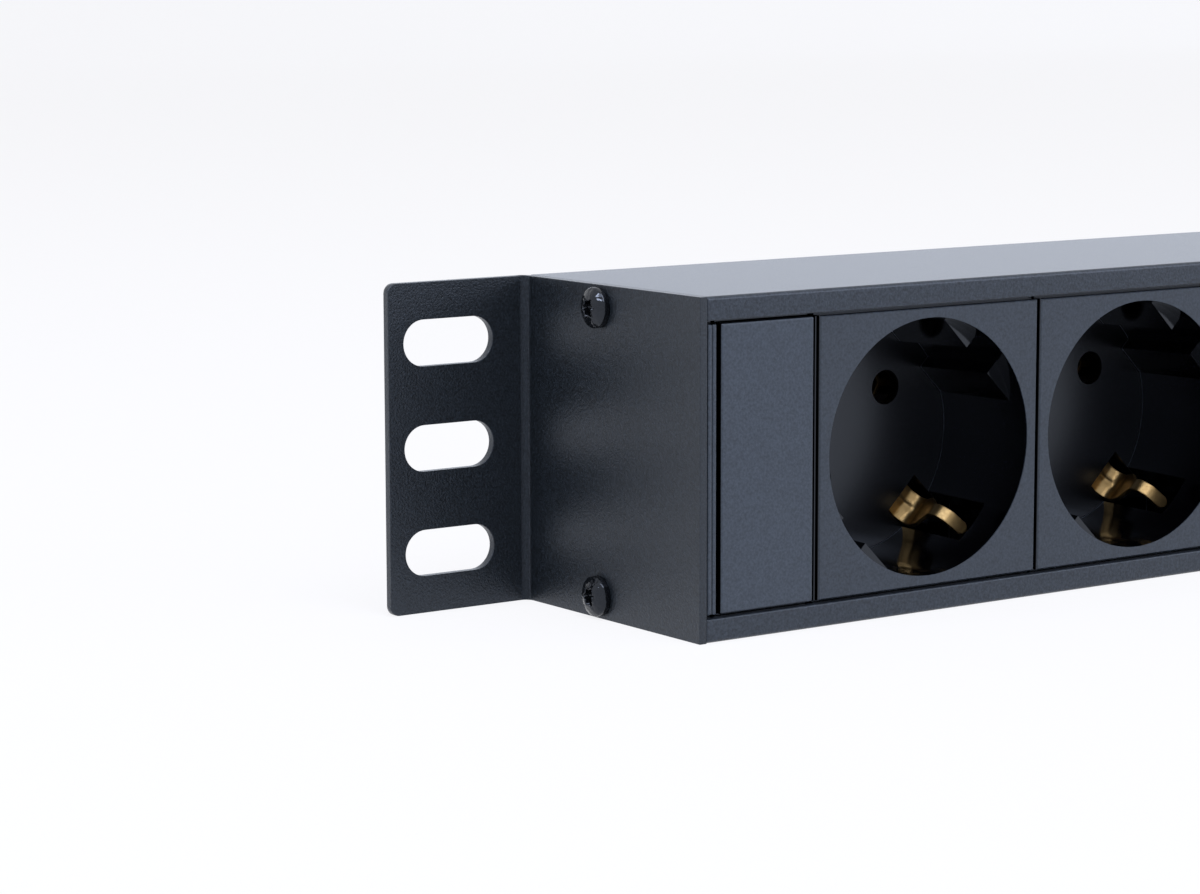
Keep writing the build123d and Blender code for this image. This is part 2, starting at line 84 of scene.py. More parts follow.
def seen_rays(tree):
    """Socket that is 1 for what the camera sees, straight on, mirrored or through a clear part."""
    rays = add(tree, "ShaderNodeLightPath")
    seen = add(tree, "ShaderNodeMath", {"operation": "MAXIMUM"}, {
        0: rays.outputs["Is Camera Ray"], 1: rays.outputs["Is Glossy Ray"],
    })
    seen = add(tree, "ShaderNodeMath", {"operation": "MAXIMUM"}, {
        0: seen.outputs[0], 1: rays.outputs["Is Transmission Ray"],
    })
    return seen.outputs[0]


def make_object(name, form, material):
    """Smooth-shaded object of a bmesh form, in that finish."""
    bmesh.ops.recalc_face_normals(form, faces=form.faces)
    for face in form.faces:
        face.smooth = True
    mesh = bpy.data.meshes.new(name)
    form.to_mesh(mesh)
    form.free()
    mesh.materials.append(material)
    piece = bpy.data.objects.new(name, mesh)
    bpy.context.scene.collection.objects.link(piece)
    return piece


sweep_half_width = 6.0
sweep_front = -4.0
sweep_wall = 5.0
sweep_bend = 2.0
sweep_steps = 12
sweep_top = 6.0
paper_white = "#fdfdff"
wall_white = "#fbfcff"
paper_glow = 0.86

profile = [(sweep_front, 0.0)]
for step in range(sweep_steps + 1):
    turn = math.radians(90 * step / sweep_steps)
    profile.append((
        sweep_wall - sweep_bend * (1 - math.sin(turn)), sweep_bend * (1 - math.cos(turn)),
    ))
profile.append((sweep_wall, sweep_top))
paper, tree, output = new_material("matt_white_paper")
seen = seen_rays(tree)
share = add(tree, "ShaderNodeMath", {"operation": "MULTIPLY"}, {
    0: seen, 1: paper_glow,
})
place = add(tree, "ShaderNodeTexCoord")
height = add(tree, "ShaderNodeSeparateXYZ", links={0: place.outputs["Object"]})
rise = add(tree, "ShaderNodeMapRange", links={
    "Value": height.outputs["Z"], "From Min": 0.0, "From Max": sweep_bend,
})
tone = add(tree, "ShaderNodeMix", {"data_type": "RGBA"}, {"Factor": rise.outputs[0]})
tone.inputs[6].default_value = linear(paper_white)
tone.inputs[7].default_value = linear(wall_white)
matt = add(tree, "ShaderNodeBsdfDiffuse", links={"Color": linear(paper_white)})
glow = add(tree, "ShaderNodeEmission", links={"Color": tone.outputs[2], "Strength": 1.0})
both = add(tree, "ShaderNodeMixShader", links={
    0: share.outputs[0], 1: matt.outputs[0], 2: glow.outputs[0],
})
tree.links.new(both.outputs[0], output.inputs["Surface"])
form = bmesh.new()
add_strip(form, [
    [(side * sweep_half_width, depth, rise_at) for side in (-1, 1)] for depth, rise_at in profile
])
make_object("paper_sweep", form, paper)


# Studio light: an even pale room, a wide soft panel overhead, one at the front right, a smaller
# one at the left that puts the glints on the screw heads and a low wide one behind, which
# gives the top of the housing its pale sheen.
room_light = 0.45
room_white = "#f4f6ff"
shown_white = "#f7f8fc"
lamp_white = "#eef2ff"
back_white = "#d8e6ff"
world = bpy.data.worlds.new("studio")
bpy.context.scene.world = world
world.use_nodes = True
tree = world.node_tree
tree.nodes.clear()
seen = seen_rays(tree)
room = add(tree, "ShaderNodeBackground", links={
    "Color": linear(room_white), "Strength": room_light,
})
shown = add(tree, "ShaderNodeBackground", links={"Color": linear(shown_white), "Strength": 1.0})
both = add(tree, "ShaderNodeMixShader", links={
    0: seen, 1: room.outputs[0], 2: shown.outputs[0],
})
output = add(tree, "ShaderNodeOutputWorld", links={"Surface": both.outputs[0]})


def softbox(name, place, target, size, watts, colour=lamp_white):
    """Soft rectangular panel that faces its target; metres and watts."""
    lamp = bpy.data.lights.new(name, "AREA")
    lamp.shape = "RECTANGLE"
    lamp.size, lamp.size_y = size
    lamp.energy = watts
    lamp.color = linear(colour)[:3]
    holder = bpy.data.objects.new(name, lamp)
    bpy.context.scene.collection.objects.link(holder)
    aim = Vector(target) - Vector(place)
    turned = aim.to_track_quat("-Z", "Y").to_matrix().to_4x4()
    holder.matrix_world = Matrix.Translation(place) @ turned
    return holder


softbox("overhead_panel", (-0.45, -0.7, 1.4), (0.0, 0.0, 0.0), (1.2, 0.9), 16.0)
softbox("front_right_panel", (1.0, -1.3, 0.7), (0.0, 0.0, 0.03), (1.2, 0.9), 7.0)
softbox("left_panel", (-1.25, 0.1, 0.85), (-0.2, 0.0, 0.03), (0.3, 0.36), 4.5)
back_panel = softbox("back_panel", (2.2, 4.1, 1.05), (0.0, 0.0, 0.05), (6.0, 1.7), 29.0, back_white)
back_panel.visible_camera = False


# Camera at the photograph's place: low, left of the front, with a long lens and no shift.
camera_place = (-497.25, -395.13, 94.48)
camera_yaw = math.radians(35.247)
camera_pitch = math.radians(8.031)
camera_roll = math.radians(-0.153)
camera_lens = 99.44
camera_sensor = 36.0
camera_near = 0.01
camera_far = 50
ahead = Vector((
    math.sin(camera_yaw) * math.cos(camera_pitch),
    math.cos(camera_yaw) * math.cos(camera_pitch),
    -math.sin(camera_pitch),
))
level = Vector((math.cos(camera_yaw), -math.sin(camera_yaw), 0))
upward = level.cross(ahead)
right = level * math.cos(camera_roll) + upward * math.sin(camera_roll)
up = upward * math.cos(camera_roll) - level * math.sin(camera_roll)
camera = bpy.data.objects.new("camera", bpy.data.cameras.new("camera"))
bpy.context.scene.collection.objects.link(camera)
camera.data.lens = camera_lens
camera.data.sensor_width = camera_sensor
camera.data.clip_start = camera_near
camera.data.clip_end = camera_far
turned = Matrix((right, up, -ahead)).transposed().to_4x4()
camera.matrix_world = Matrix.Translation(Vector(camera_place) * MM) @ turned
bpy.context.scene.camera = camera
bpy.context.scene.view_settings.view_transform = "Standard"


# Housing: an aluminium extrusion in black powder coat, cut to length between the end plates.
# The coat has a fine even grain, drawn about twice as coarse as the real one so that it shows,
# and reflects the pale room where it is seen at a low angle.
grain_low = 0.3
grain_high = 0.7
weld_reach = 0.002
flat_angle = 0.8
edge_angle = 25
edge_segments = 2
flat_weight = 50
housing_edge = 0.25


def grained(name, dark, light, grain, depth, seed, sockets):
    """Finish with a fine even grain in colour and surface; grain and depth are in millimetres."""
    material, tree, output = new_material(name)
    place = add(tree, "ShaderNodeTexCoord")
    shifted = add(tree, "ShaderNodeVectorMath", {"operation": "ADD"}, {
        0: place.outputs["Object"], 1: (seed, seed, seed),
    })
    noise = add(tree, "ShaderNodeTexNoise", links={
        "Vector": shifted.outputs[0], "Scale": 1 / (grain * MM), "Detail": 2.0, "Roughness": 0.6,
    })
    spread = add(tree, "ShaderNodeMapRange", links={
        "Value": noise.outputs["Fac"], "From Min": grain_low, "From Max": grain_high,
    })
    tone = add(tree, "ShaderNodeMix", {"data_type": "RGBA"}, {"Factor": spread.outputs[0]})
    tone.inputs[6].default_value = linear(dark)
    tone.inputs[7].default_value = linear(light)
    bump = add(tree, "ShaderNodeBump", links={
        "Height": noise.outputs["Fac"], "Strength": 1.0, "Distance": depth * MM,
    })
    surface = add(tree, "ShaderNodeBsdfPrincipled", links={
        "Base Color": tone.outputs[2], "Normal": bump.outputs[0], **sockets,
    })
    tree.links.new(surface.outputs[0], output.inputs["Surface"])
    return material


def soft_edges(name, width, material):
    """Dresses a CAD node: its own mesh, with fine rounded edges and that finish."""
    node = nodes[name]
    node.data.materials.clear()
    node.data.materials.append(material)
    weld = node.modifiers.new("weld", "WELD")
    weld.merge_threshold = weld_reach * MM
    flat = node.modifiers.new("flat", "DECIMATE")
    flat.decimate_type = "DISSOLVE"
    flat.angle_limit = math.radians(flat_angle)
    smooth = node.modifiers.new("smooth", "NODES")
    smooth.node_group = smooth_group
    bevel = node.modifiers.new("edges", "BEVEL")
    bevel.width = width * MM
    bevel.segments = edge_segments
    bevel.limit_method = "ANGLE"
    bevel.angle_limit = math.radians(edge_angle)
    bevel.harden_normals = True
    node.modifiers.new("shading", "WEIGHTED_NORMAL").weight = flat_weight


smooth_group = bpy.data.node_groups.new("all_smooth", "GeometryNodeTree")
smooth_group.interface.new_socket("Geometry", in_out="INPUT", socket_type="NodeSocketGeometry")
smooth_group.interface.new_socket("Geometry", in_out="OUTPUT", socket_type="NodeSocketGeometry")
entry = add(smooth_group, "NodeGroupInput")
shade = add(smooth_group, "GeometryNodeSetShadeSmooth", links={"Geometry": entry.outputs[0]})
add(smooth_group, "NodeGroupOutput", links={0: shade.outputs[0]})

black_sheen = linear("#dde8fb")
coat = grained(
    "black_powder_coat_on_aluminium", "#12161b", "#2f363f", grain=0.42, depth=0.05, seed=0.0,
    sockets={"Roughness": 0.33, "IOR": 1.56, "Specular Tint": black_sheen},
)
soft_edges("housing_extrusion", housing_edge, coat)


# End brackets: 1.3 mm steel sheet, bent once to make the rack ear, in black powder coat.
# The coat is darker than the extrusion's. Powder reaches the inside of a bend poorly, so it is
# rougher there than on the flats.
bracket_sheet = 1.3
bend_middle = 0.65
bend_half = 0.5
flat_roughness = 0.34
bend_roughness = 0.85
bracket_edge = 0.34
plate_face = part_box("housing_extrusion")[1].x + bracket_sheet * MM


def shader_of(material):
    """The shader node of a finish."""
    return next(node for node in material.node_tree.nodes if node.type == "BSDF_PRINCIPLED")


bracket_coat = grained(
    "black_powder_coat_on_steel", "#010202", "#1f252b", grain=0.34, depth=0.075, seed=3.0,
    sockets={"Roughness": flat_roughness, "IOR": 1.6, "Specular Tint": black_sheen},
)
tree = bracket_coat.node_tree
spot = add(tree, "ShaderNodeSeparateXYZ", links={
    0: add(tree, "ShaderNodeTexCoord").outputs["Object"],
})
outward = add(tree, "ShaderNodeMath", {"operation": "ABSOLUTE"}, {0: spot.outputs["X"]})
bend = add(tree, "ShaderNodeMath", {"operation": "COMPARE"}, {
    0: outward.outputs[0], 1: plate_face + bend_middle * MM, 2: bend_half * MM,
})
wear = add(tree, "ShaderNodeMapRange", links={
    "Value": bend.outputs[0], "To Min": flat_roughness, "To Max": bend_roughness,
})
tree.links.new(wear.outputs[0], shader_of(bracket_coat).inputs["Roughness"])
for side in ("left", "right"):
    soft_edges(f"end_bracket_{side}", bracket_edge, bracket_coat)


# End screws: pan heads with a six-lobe recess, steel with a glossy black finish, one in each
# screw channel of the extrusion. The domed, slightly pebbled heads carry small bright glints.
screw_head = 3.05
screw_seat = 2.3
screw_height = 2.1
screw_rim = 1.1
screw_rim_round = 0.3
screw_shank = 1.55
screw_length = 10.0
lobe_outer = 1.42
lobe_inner = 1.04
lobe_depth = 1.4
lobe_count = 6
recess_edge = 0.3
recess_corner = 0.15
recess_foot = 0.88
recess_cone = 0.4
dome_start = 1.07
dome_shares = (0.0, 0.03, 0.08, 0.16, 0.27, 0.4, 0.55, 0.7, 0.84, 0.94, 1.0)
seat_round = 0.12
point_length = 0.4
point_share = 0.7
tip_radius = 0.04
screw_steps = 96
pebble_size = 0.9
pebble_bump = 0.16
gloss_roughness = (0.06, 0.16)
screw_black = "#08090b"


def add_rings(form, rings):
    """Adds a closed skin over rows of points, each row a closed ring, with both ends capped."""
    loops = [[form.verts.new(point) for point in ring] for ring in rings]
    for first, second in zip(loops, loops[1:]):
        for step in range(len(first)):
            after = (step + 1) % len(first)
            form.faces.new((first[step], first[after], second[after], second[step]))
    form.faces.new(loops[0])
    form.faces.new(loops[-1])


def screw_radii(turn):
    """Radius and height of each ring round the screw at that angle, from the recess outwards."""
    wave = math.cos(lobe_count * turn)
    lobe = (lobe_outer + lobe_inner) / 2 + (lobe_outer - lobe_inner) / 2 * wave
    rise = screw_height - screw_rim
    crown = screw_head - screw_rim_round * 0.4
    dome = (crown ** 2 + rise ** 2) / (2 * rise)
    floor = screw_height - lobe_depth
    steps = [
        (tip_radius, floor - recess_cone),
        (lobe * recess_foot, floor),
        (lobe, floor + recess_corner),
        (lobe, screw_height - recess_edge),
    ]
    for share in dome_shares:
        radius = (1 - share) * lobe * dome_start + share * crown
        steps.append((radius, screw_height - dome + math.sqrt(dome ** 2 - radius ** 2)))
    steps += [
        (screw_head - screw_rim_round * 0.1, screw_rim - screw_rim_round * 0.45),
        (screw_head, screw_rim - screw_rim_round),
        (screw_head, seat_round),
        (screw_head - seat_round, 0.0),
        (screw_shank, 0.0),
        (screw_shank, -screw_length + point_length),
        (screw_shank * point_share, -screw_length),
        (tip_radius, -screw_length),
    ]
    return steps


gloss_black, tree, output = new_material("glossy_black_zinc_on_steel")
place = add(tree, "ShaderNodeTexCoord")
pebbles = add(tree, "ShaderNodeTexNoise", links={
    "Vector": place.outputs["Object"], "Scale": 1 / (pebble_size * MM), "Detail": 1.0,
})
wear = add(tree, "ShaderNodeMapRange", links={
    "Value": pebbles.outputs["Fac"], "From Min": grain_low, "From Max": grain_high,
    "To Min": gloss_roughness[0], "To Max": gloss_roughness[1],
})
bump = add(tree, "ShaderNodeBump", links={
    "Height": pebbles.outputs["Fac"], "Strength": 1.0, "Distance": pebble_bump * MM,
})
surface = add(tree, "ShaderNodeBsdfPrincipled", links={
    "Base Color": linear(screw_black), "Roughness": wear.outputs[0], "IOR": 1.5,
    "Specular Tint": black_sheen, "Normal": bump.outputs[0],
})
tree.links.new(surface.outputs[0], output.inputs["Surface"])
for side, mirror in (("left", 1), ("right", -1)):
    low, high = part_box(f"end_screws_{side}")
    depth = (low.y + high.y) / 2 / MM
    plate = (low.x if side == "left" else high.x) / MM + mirror * screw_seat
    form = bmesh.new()
    for line in (low.z / MM + screw_head, high.z / MM - screw_head):
        spokes = []
        for step in range(screw_steps):
            turn = 2 * math.pi * step / screw_steps
            spokes.append([
                ((plate - mirror * rise) * MM, (depth + out * math.cos(turn)) * MM,
                 (line + out * math.sin(turn)) * MM)
                for out, rise in screw_radii(turn)
            ])
        add_rings(form, list(zip(*spokes)))
    piece = make_object(f"domed_end_screws_{side}", form, gloss_black)
    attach(piece, "chassis")
    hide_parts(f"end_screws_{side}")


# Front modules: black polycarbonate, injection moulded. The face and the well's floor and seam
# come from spark-eroded steel, which gives a fine matt grain, and the well's walls from polished
# cores that mirror the clips. The walls and floor are painted near black, partly for the polish
# and partly as painted shade, and a band at the floor seam keeps the face's lighter tone as a
# painted highlight line. The fillers' batch is a little lighter.
polish_from = 0.1
polish_full = 0.22
floor_from = 18.2
floor_full = 18.4
# A thin band round the floor seam keeps the face's lighter tone and matt finish: a painted
# highlight line.
painted_highlight_seam_depth = 18.36
painted_highlight_seam_half = 0.1
face_roughness = 0.42
wall_roughness = 0.1
floor_roughness = 0.27
mould_grain = 0.4
mould_bump = 0.03
polished_grain = 0.15
# Near-black colour of the well's walls and floor: partly the polished finish, partly painted shade.
polished_black_and_painted_shade = "#010102"
module_edge = 0.2
filler_edge = 0.16
socket_names = sorted(
    (name for name in nodes if name.startswith("socket_") and "cover" not in name),
    key=lambda name: int(name.split("_")[1]),
)
module_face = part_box("socket_1")[0].y


def moulded(name, dark, light):
    """Black plastic with a matt face, in those two tones, and polished sides behind it, painted
    near black as shade, with a painted highlight line at the floor seam.
    """
    material, tree, output = new_material(name)
    place = add(tree, "ShaderNodeTexCoord")
    spot = add(tree, "ShaderNodeSeparateXYZ", links={0: place.outputs["Object"]})
    polished = add(tree, "ShaderNodeMapRange", links={
        "Value": spot.outputs["Y"],
        "From Min": module_face + polish_from * MM, "From Max": module_face + polish_full * MM,
    })
    floor = add(tree, "ShaderNodeMapRange", links={
        "Value": spot.outputs["Y"],
        "From Min": module_face + floor_from * MM, "From Max": module_face + floor_full * MM,
        "To Min": wall_roughness, "To Max": floor_roughness,
    })
    # Band at the floor seam that keeps the face's lighter tone and matt finish: a painted highlight
    # line.
    seam = add(tree, "ShaderNodeMath", {"operation": "COMPARE"}, {
        0: spot.outputs["Y"], 1: module_face + painted_highlight_seam_depth * MM, 2: painted_highlight_seam_half * MM,
    })
    sides = add(tree, "ShaderNodeMath", {"operation": "SUBTRACT", "use_clamp": True}, {
        0: polished.outputs[0], 1: seam.outputs[0],
    })
    grain = add(tree, "ShaderNodeTexNoise", links={
        "Vector": place.outputs["Object"], "Scale": 1 / (mould_grain * MM), "Detail": 2.0,
        "Roughness": 0.6,
    })
    spread = add(tree, "ShaderNodeMapRange", links={
        "Value": grain.outputs["Fac"], "From Min": grain_low, "From Max": grain_high,
    })
    tone = add(tree, "ShaderNodeMix", {"data_type": "RGBA"}, {"Factor": spread.outputs[0]})
    tone.inputs[6].default_value = linear(dark)
    tone.inputs[7].default_value = linear(light)
    # The well's walls and floor take the near-black colour: partly their polished finish, partly
    # painted shade.
    deep = add(tree, "ShaderNodeMix", {"data_type": "RGBA"}, {
        "Factor": sides.outputs[0], 6: tone.outputs[2],
    })
    deep.inputs[7].default_value = linear(polished_black_and_painted_shade)
    gloss = add(tree, "ShaderNodeMapRange", links={
        "Value": sides.outputs[0], "To Min": face_roughness, "To Max": floor.outputs[0],
    })
    matt_share = add(tree, "ShaderNodeMapRange", links={
        "Value": polished.outputs[0], "To Min": 1.0, "To Max": polished_grain,
    })
    bump = add(tree, "ShaderNodeBump", links={
        "Height": grain.outputs["Fac"], "Strength": matt_share.outputs[0],
        "Distance": mould_bump * MM,
    })
    surface = add(tree, "ShaderNodeBsdfPrincipled", links={
        "Base Color": deep.outputs[2], "Roughness": gloss.outputs[0], "IOR": 1.58,
        "Specular Tint": black_sheen, "Normal": bump.outputs[0],
    })
    tree.links.new(surface.outputs[0], output.inputs["Surface"])
    return material


plastic = moulded("moulded_black_polycarbonate", "#1b2026", "#2f363f")
filler_plastic = moulded("moulded_black_abs", "#252b33", "#39414b")
for name in socket_names:
    soft_edges(name, module_edge, plastic)
soft_edges("switch_module", module_edge, plastic)
for name in ("blank_filler_left", "blank_filler_right", "end_spacer_left", "end_spacer_right"):
    soft_edges(name, filler_edge, filler_plastic)


# Earth clips: one bent brass strap in each socket, seen through the two windows of its well.
# A pressed rib stiffens the wide part, and a narrow tongue bulges inwards to grip the plug.
clip_thickness = 0.7
clip_half_width = 2.7
tongue_half_width = 1.1
tongue_start = 16.6
tongue_narrow = 13.4
tip_area = 0.02
clip_edge = 0.16
clip_step = 0.25
clip_arm = (
    (17.4, 20.85, 1.5),
    (19.8, 19.3, 2.1),
    (17.6, 13.6, 2.0),
    (17.6, 12.4, 1.6),
    (18.8, 10.9, 2.0),
    (22.2, 9.7, 0.0),
)
rib_depth = 0.3
rib_half_width = 0.7
rib_from_tip = 12.6
rib_run = 1.4
rib_steps = 10
corner_turns = (0, 30, 60, 90)
brass_grain = 0.28
brass_bump = 0.012
brass_stain = 2.5
brass_roughness = (0.28, 0.44)
brass_dark = "#826a43"
brass_light = "#9c865f"
well_turn = math.radians(45)


def rounded_line(points, step):
    """Points along straight runs joined by tangent arcs, about one step apart."""
    line = []
    spots = [Vector(point[:2]) for point in points]
    for place, (across, depth, radius) in enumerate(points):
        spot = spots[place]
        if place in (0, len(points) - 1) or radius == 0:
            line.append(spot)
            continue
        before = (spots[place - 1] - spot).normalized()
        after = (spots[place + 1] - spot).normalized()
        half = before.angle(after) / 2
        reach = radius / math.tan(half)
        centre = spot + (before + after).normalized() * (radius / math.sin(half))
        first = spot + before * reach - centre
        swing = math.pi - 2 * half
        if first.cross(after) < 0:
            swing = -swing
        count = max(3, int(abs(swing) * radius / step))
        for part in range(count + 1):
            angle = swing * part / count
            line.append(centre + Vector((
                first.x * math.cos(angle) - first.y * math.sin(angle),
                first.x * math.sin(angle) + first.y * math.cos(angle),
            )))
    even = [line[0]]
    for first, second in zip(line, line[1:]):
        count = max(1, int((second - first).length / step))
        for part in range(1, count + 1):
            even.append(first.lerp(second, part / count))
    return even


def clip_section(half_width, ribbed):
    """Closed outline across the strap: half width one way, thickness the other."""
    half = clip_thickness / 2
    edge = min(clip_edge, half_width * 0.45)
    outline = []
    for side_x, side_y, start in ((1, 1, 0), (-1, 1, 90), (-1, -1, 180), (1, -1, 270)):
        for turn in corner_turns:
            angle = math.radians(start + turn)
            outline.append((
                side_x * (half_width - edge) + edge * math.cos(angle),
                side_y * (half - edge) + edge * math.sin(angle),
            ))
        if start in (0, 180):
            for step in range(1, 2 * rib_steps):
                x = side_x * (half_width - edge) * (1 - step / rib_steps)
                dip = ribbed * rib_depth * math.exp(-2 * (x / rib_half_width) ** 2)
                outline.append((x, side_y * half - dip))
    return outline


def clip_rings():
    """Rings round the strap, from one tongue's tip to the other, as (pin line, across, depth)."""
    other_arm = [(-across, depth, radius) for across, depth, radius in reversed(clip_arm)]
    line = rounded_line(other_arm + list(clip_arm), clip_step)
    lengths = [0.0]
    for first, second in zip(line, line[1:]):
        lengths.append(lengths[-1] + (second - first).length)
    rings = []
    for place, spot in enumerate(line):
        heading = (line[min(len(line) - 1, place + 1)] - line[max(0, place - 1)]).normalized()
        normal = Vector((-heading.y, heading.x))
        from_tip = min(lengths[place], lengths[-1] - lengths[place])
        share = max(0.0, min(1.0, (spot.y - tongue_narrow) / (tongue_start - tongue_narrow)))
        share = share * share * (3 - 2 * share)
        width = tongue_half_width + (clip_half_width - tongue_half_width) * share
        if from_tip < tongue_half_width:
            inset = tongue_half_width - from_tip
            width = math.sqrt(max(tip_area, tongue_half_width ** 2 - inset ** 2))
        ribbed = max(0.0, min(1.0, (from_tip - rib_from_tip) / rib_run))
        rings.append([
            (x, spot.x + normal.x * y, spot.y + normal.y * y)
            for x, y in clip_section(width, ribbed)
        ])
    return rings


brass, tree, output = new_material("satin_rolled_brass")
place = add(tree, "ShaderNodeTexCoord")
rolled = add(tree, "ShaderNodeTexNoise", links={
    "Vector": place.outputs["Object"], "Scale": 1 / (brass_grain * MM), "Detail": 2.0,
    "Roughness": 0.6,
})
stain = add(tree, "ShaderNodeTexNoise", links={
    "Vector": place.outputs["Object"], "Scale": 1 / (brass_stain * MM), "Detail": 2.0,
})
tone = add(tree, "ShaderNodeMix", {"data_type": "RGBA"}, {"Factor": stain.outputs["Fac"]})
tone.inputs[6].default_value = linear(brass_dark)
tone.inputs[7].default_value = linear(brass_light)
rough = add(tree, "ShaderNodeMapRange", links={
    "Value": rolled.outputs["Fac"], "From Min": grain_low, "From Max": grain_high,
    "To Min": brass_roughness[0], "To Max": brass_roughness[1],
})
bump = add(tree, "ShaderNodeBump", links={
    "Height": rolled.outputs["Fac"], "Strength": 1.0, "Distance": brass_bump * MM,
})
surface = add(tree, "ShaderNodeBsdfPrincipled", links={
    "Base Color": tone.outputs[2], "Metallic": 1.0, "Roughness": rough.outputs[0],
    "Normal": bump.outputs[0],
})
tree.links.new(surface.outputs[0], output.inputs["Surface"])
shape = clip_rings()
for name in socket_names:
    number = name.split("_")[1]
    low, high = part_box(name)
    centre_x = (low.x + high.x) / 2 / MM
    middle = (low.z + high.z) / 2 / MM
    form = bmesh.new()
    add_rings(form, [
        [(
            (centre_x + along * math.cos(well_turn) + across * math.sin(well_turn)) * MM,
            low.y + depth * MM,
            (middle + along * math.sin(well_turn) - across * math.cos(well_turn)) * MM,
        ) for along, across, depth in ring]
        for ring in shape
    ])
    piece = make_object(f"ribbed_earth_clip_{number}", form, brass)
    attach(piece, "chassis")
    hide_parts(f"earth_clip_{number}")


# Socket covers: grey polycarbonate, injection moulded and snapped onto the back of each socket.
# They are only seen from inside the housing, with a plain matt surface.
cover_edge = 0.15
grey_plastic = grained(
    "moulded_grey_polycarbonate", "#85878a", "#8f9194", grain=0.4, depth=0.015, seed=17.0,
    sockets={"Roughness": 0.45, "IOR": 1.52},
)
for name in socket_names:
    soft_edges(name.replace("socket_", "socket_cover_"), cover_edge, grey_plastic)


# Busbars and bonding: rolled brass strip, stamped and folded, painted dark brown as shade so that
# it reads black in the pin holes, with rolling marks along it, and a nickel plated stud and nut
# that bond the left end plate to the earth busbar.
rolling_grain = 0.25
rolling_stretch = 0.05
strip_roughness = (0.35, 0.55)
# Dark brown tones of the strip: painted shade, so that the busbars read black in the pin holes.
strip_dark = "#453722"
strip_light = "#54442c"
strip_edge = 0.1
plating_drift = 1.8
plating_spread = 0.07
stud_edge = 0.15
strip_brass, tree, output = new_material("stamped_brass_strip")
place = add(tree, "ShaderNodeTexCoord")
along = add(tree, "ShaderNodeMapping", links={
    "Vector": place.outputs["Object"], "Scale": (rolling_stretch, 1.0, 1.0),
})
lines = add(tree, "ShaderNodeTexNoise", links={
    "Vector": along.outputs[0], "Scale": 1 / (rolling_grain * MM), "Detail": 2.0,
})
tone = add(tree, "ShaderNodeMix", {"data_type": "RGBA"}, {"Factor": lines.outputs["Fac"]})
tone.inputs[6].default_value = linear(strip_dark)
tone.inputs[7].default_value = linear(strip_light)
rough = add(tree, "ShaderNodeMapRange", links={
    "Value": lines.outputs["Fac"], "To Min": strip_roughness[0], "To Max": strip_roughness[1],
})
surface = add(tree, "ShaderNodeBsdfPrincipled", links={
    "Base Color": tone.outputs[2], "Metallic": 1.0, "Roughness": rough.outputs[0],
})
tree.links.new(surface.outputs[0], output.inputs["Surface"])
for name in ("live_busbar", "neutral_busbar", "earth_busbar", "bonding_strap"):
    soft_edges(name, strip_edge, strip_brass)


def plated(name, dark, light, roughness):
    """Thin bright metal plating whose tone and gloss drift slightly over a few millimetres."""
    material, tree, output = new_material(name)
    place = add(tree, "ShaderNodeTexCoord")
    drift = add(tree, "ShaderNodeTexNoise", links={
        "Vector": place.outputs["Object"], "Scale": 1 / (plating_drift * MM), "Detail": 3.0,
    })
    tone = add(tree, "ShaderNodeMix", {"data_type": "RGBA"}, {"Factor": drift.outputs["Fac"]})
    tone.inputs[6].default_value = linear(dark)
    tone.inputs[7].default_value = linear(light)
    rough = add(tree, "ShaderNodeMapRange", links={
        "Value": drift.outputs["Fac"],
        "To Min": roughness - plating_spread, "To Max": roughness + plating_spread,
    })
    surface = add(tree, "ShaderNodeBsdfPrincipled", links={
        "Base Color": tone.outputs[2], "Metallic": 1.0, "Roughness": rough.outputs[0],
    })
    tree.links.new(surface.outputs[0], output.inputs["Surface"])
    return material


nickel = plated("nickel_plated_brass", "#c4beb2", "#d6d1c7", 0.25)
for name in ("bonding_stud", "bonding_nut"):
    soft_edges(name, stud_edge, nickel)


# Internal wires: stranded copper in soft PVC, brown for live, blue for neutral and a green
# one with yellow stripes for earth, run between the inlet, the switch and the busbars.
wire_finish = {
    "brown_soft_pvc": ("#56311d", "#5f3822", ("live_wire_in", "live_wire_out")),
    "blue_soft_pvc": ("#1c4f96", "#2258a2", ("neutral_wire_in", "neutral_wire_out")),
    "green_soft_pvc": ("#2c7a34", "#33853c", ("earth_wire",)),
}
wire_round = 0.5
stripe_yellow = "#e6cf2e"
stripe_side = 0.75
for number, (name, (dark, light, wires)) in enumerate(wire_finish.items()):
    pvc = grained(
        name, dark, light, grain=1.2, depth=0.01, seed=20.0 + number,
        sockets={"Roughness": 0.35, "IOR": 1.53},
    )
    for wire in wires:
        soft_edges(wire, wire_round, pvc)
tree = pvc.node_tree
surface = shader_of(pvc)
ground = surface.inputs["Base Color"].links[0].from_socket
place = add(tree, "ShaderNodeTexCoord")
side_of = add(tree, "ShaderNodeSeparateXYZ", links={0: place.outputs["Normal"]})
upright = add(tree, "ShaderNodeMath", {"operation": "ABSOLUTE"}, {0: side_of.outputs["Z"]})
striped = add(tree, "ShaderNodeMath", {"operation": "GREATER_THAN"}, {
    0: upright.outputs[0], 1: stripe_side,
})
stripe = add(tree, "ShaderNodeMix", {"data_type": "RGBA"}, {
    "Factor": striped.outputs[0], 6: ground,
})
stripe.inputs[7].default_value = linear(stripe_yellow)
tree.links.new(stripe.outputs[2], surface.inputs["Base Color"])


# Mains switch: a rocker switch snapped into the tray of the last module. Its body is satin black
# polyamide, and its four flat terminals are tinned brass.
switch_edge = 0.2
terminal_edge = 0.08
satin_black = grained(
    "moulded_satin_black_polyamide", "#17191d", "#1c1f24", grain=0.5, depth=0.012, seed=31.0,
    sockets={"Roughness": 0.3, "IOR": 1.53},
)
soft_edges("switch_housing", switch_edge, satin_black)
tinned = plated("tinned_brass", "#c9c6bf", "#d9d6d0", 0.32)
soft_edges("switch_terminals", terminal_edge, tinned)


